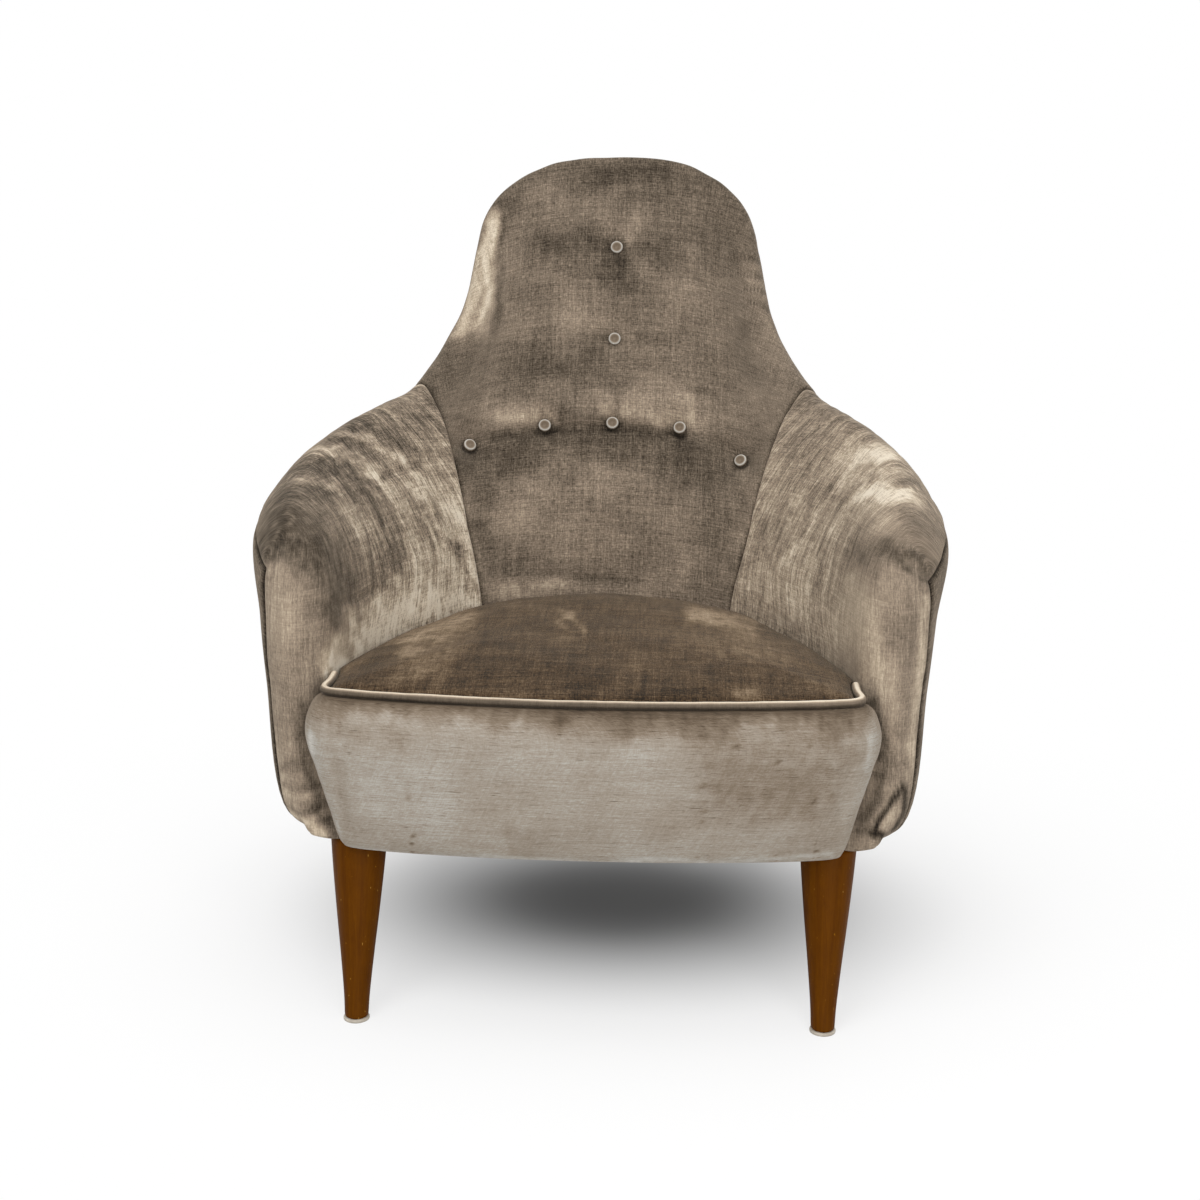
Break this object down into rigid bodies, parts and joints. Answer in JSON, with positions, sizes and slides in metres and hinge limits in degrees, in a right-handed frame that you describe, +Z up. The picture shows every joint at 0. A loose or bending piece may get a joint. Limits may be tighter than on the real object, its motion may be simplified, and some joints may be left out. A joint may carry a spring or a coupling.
{
  "type": "tub chair",
  "caption": "High-backed upholstered tub chair with wrap-round arms, button-tufted back, fixed sprung seat, puffed front border and splayed turned wooden legs.",
  "frame": {"origin": "on the floor, under the middle of the chair's width and depth", "axes": "+Z up; the front of the chair faces -Y; +X is to the right for someone who looks at the front"},
  "size_m": [0.813, 0.7728, 0.971],
  "materials": {
    "wall_velvet": "crushed velvet, taupe, with a slubbed cross weave and a nap that shades as it is brushed",
    "seat_velvet": "the same velvet, its nap pressed darker by use",
    "border_velvet": "the same velvet, its nap catching the light",
    "piping_velvet": "the same velvet, cut on the bias round a cord",
    "button_velvet": "the same velvet, stretched over a button shell",
    "leg_wood": "turned beech, amber-brown stain under satin varnish, scuffed",
    "frame_wood": "sawn beech, unfinished",
    "bolt_steel": "zinc plated",
    "spring_steel": "coppered spring wire, dulled",
    "jute": "woven jute",
    "glide_plastic": "pale grey-beige, scuffed",
    "dust_cloth": "plain black cambric"
  },
  "bodies": {
    "root": {"inside_back": "wall_velvet", "inside_arm_right": "wall_velvet", "inside_arm_left": "wall_velvet", "outside_arm_right": "wall_velvet", "outside_arm_left": "wall_velvet", "outside_back": "wall_velvet", "button_top": "button_velvet", "button_upper": "button_velvet", "button_row_1": "button_velvet", "button_row_2": "button_velvet", "button_row_3": "button_velvet", "button_row_4": "button_velvet", "button_row_5": "button_velvet", "seat_pad": "seat_velvet", "hessian": "jute", "seat_piping": "piping_velvet", "front_border": "border_velvet", "front_leg_right": "leg_wood", "front_leg_left": "leg_wood", "rear_leg_right": "leg_wood", "rear_leg_left": "leg_wood", "front_leg_bolt_right": "bolt_steel", "front_leg_bolt_left": "bolt_steel", "rear_leg_bolt_right": "bolt_steel", "rear_leg_bolt_left": "bolt_steel", "front_leg_glide_right": "glide_plastic", "front_leg_glide_left": "glide_plastic", "rear_leg_glide_right": "glide_plastic", "rear_leg_glide_left": "glide_plastic", "front_block_right": "frame_wood", "front_block_left": "frame_wood", "rear_block_right": "frame_wood", "rear_block_left": "frame_wood", "front_rail": "frame_wood", "side_rail_right": "frame_wood", "side_rail_left": "frame_wood", "rear_rail": "frame_wood", "arm_post_right": "frame_wood", "arm_post_left": "frame_wood", "back_post_right": "frame_wood", "back_post_left": "frame_wood", "arm_rail_right": "frame_wood", "arm_rail_left": "frame_wood", "crown_rail": "frame_wood", "tacking_rail": "frame_wood", "lower_slat": "frame_wood", "upper_slat": "frame_wood", "seat_spring_1": "spring_steel", "seat_spring_2": "spring_steel", "seat_spring_3": "spring_steel", "seat_spring_4": "spring_steel", "seat_spring_5": "spring_steel", "seat_spring_6": "spring_steel", "seat_spring_7": "spring_steel", "seat_spring_8": "spring_steel", "seat_webbing": "jute", "dust_cover": "dust_cloth"}
  },
  "joints": []
}
